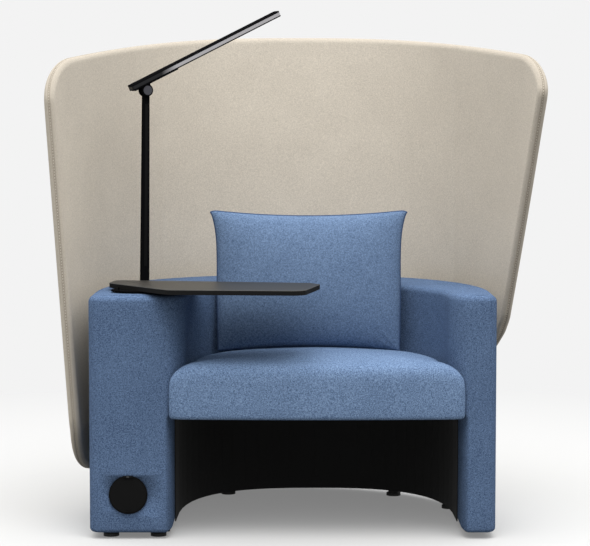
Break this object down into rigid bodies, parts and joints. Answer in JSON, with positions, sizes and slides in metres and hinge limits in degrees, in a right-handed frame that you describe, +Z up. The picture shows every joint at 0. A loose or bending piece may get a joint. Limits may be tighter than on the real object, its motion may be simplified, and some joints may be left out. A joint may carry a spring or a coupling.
{
  "type": "acoustic high back lounge chair",
  "caption": "Upholstered horseshoe lounge chair with a flared acoustic screen, a lumbar pillow, a swivelling tablet, a reading lamp and a lidded power outlet.",
  "frame": {"origin": "on the floor under the middle of the whole chair's box", "axes": "+Z up, +Y to the chair's back, +X to the right for someone who faces the chair"},
  "size_m": [1.2194, 0.8776, 1.2822],
  "materials": {
    "blue_felt": "blue melange wool felt, stretched over foam",
    "beige_felt": "beige melange felt over acoustic foam",
    "pillow_fabric": "blue melange felt with darker self piping",
    "plywood": "bare birch plywood and timber",
    "black_board": "board stained black, matt",
    "black_plastic": "moulded, finely textured",
    "pale_plastic": "self-lubricating bearing plastic",
    "tablet_laminate": "graphite laminate, satin",
    "black_metal": "black powder coat",
    "grey_metal": "dark grey satin",
    "steel": "zinc plated",
    "aluminium": "satin anodised",
    "brass": "plain contacts",
    "glide_rubber": "hard black glide",
    "diffuser": "opal diffuser",
    "circuit": "white circuit board"
  },
  "bodies": {
    "root": {"shell_cover": "blue_felt", "well_cover": "blue_felt", "fitting_surrounds": "blue_felt", "shell_base_plate": "black_board", "shell_top_plate": "plywood", "shell_posts": "plywood", "port_board": "plywood", "under_liner": "black_board", "glide_pads": "glide_rubber", "glide_screws": "steel", "seat_cushion": "blue_felt", "seat_board": "plywood", "seat_rail": "black_board", "seat_bolts": "steel", "screen_core": "plywood", "screen_inner_pad": "beige_felt", "screen_outer_pad": "beige_felt", "screen_spacers": "grey_metal", "screen_bolts": "steel", "port_bezel": "black_plastic", "port_cup": "black_plastic", "port_socket": "black_plastic", "port_contacts": "brass", "port_lock_ring": "black_plastic", "port_hinge_pin": "black_metal", "port_spring": "black_metal", "mains_inlet": "black_plastic", "port_lead": "black_plastic", "pivot_post": "steel", "pivot_flange": "black_metal", "pivot_washer": "pale_plastic", "pivot_nut": "steel", "lamp_socket": "black_metal", "lamp_bush": "pale_plastic", "lamp_driver": "black_plastic", "lamp_lead": "black_plastic"},
    "port_lid": {"port_lid": "black_plastic"},
    "tablet": {"tablet_top": "tablet_laminate", "tablet_plate": "black_metal", "tablet_bush": "pale_plastic", "tablet_screws": "steel"},
    "lamp_post": {"lamp_post": "black_metal", "lamp_post_strip": "black_plastic"},
    "lamp_head": {"lamp_knuckle": "black_metal", "lamp_hinge_pin": "steel", "lamp_hinge_caps": "grey_metal", "lamp_washers": "pale_plastic", "lamp_head_frame": "aluminium", "lamp_head_cover": "black_metal", "lamp_head_bezel": "black_metal", "lamp_led_board": "circuit", "lamp_diffuser": "diffuser"},
    "pillow": {"pillow": "pillow_fabric"}
  },
  "joints": [
    {"name": "lid_hinge", "type": "hinge", "parent": "root", "child": "port_lid", "pos_m": [-0.401, -0.36224, 0.1516], "axis": [-1, 0, 0], "range_deg": [0, 100], "stiffness_Nm_per_rad": 0.02, "springref_deg": -34.38},
    {"name": "tablet_swivel", "type": "hinge", "parent": "root", "child": "tablet", "pos_m": [-0.385, -0.25504, 0.59], "axis": [0, 0, 1], "range_deg": [-100, 0]},
    {"name": "lamp_swivel", "type": "hinge", "parent": "root", "child": "lamp_post", "pos_m": [-0.38, -0.07004, 0.6], "axis": [0, 0, 1], "range_deg": [-90, 30]},
    {"name": "lamp_head_tilt", "type": "hinge", "parent": "lamp_post", "child": "lamp_head", "pos_m": [-0.3748, -0.06704, 1.075], "axis": [0.5, -0.866, 0], "range_deg": [-115, 33]},
    {"name": "pillow_lift", "type": "slide", "parent": "root", "child": "pillow", "axis": [0, 0, 1], "range_m": [0, 0.25]}
  ]
}
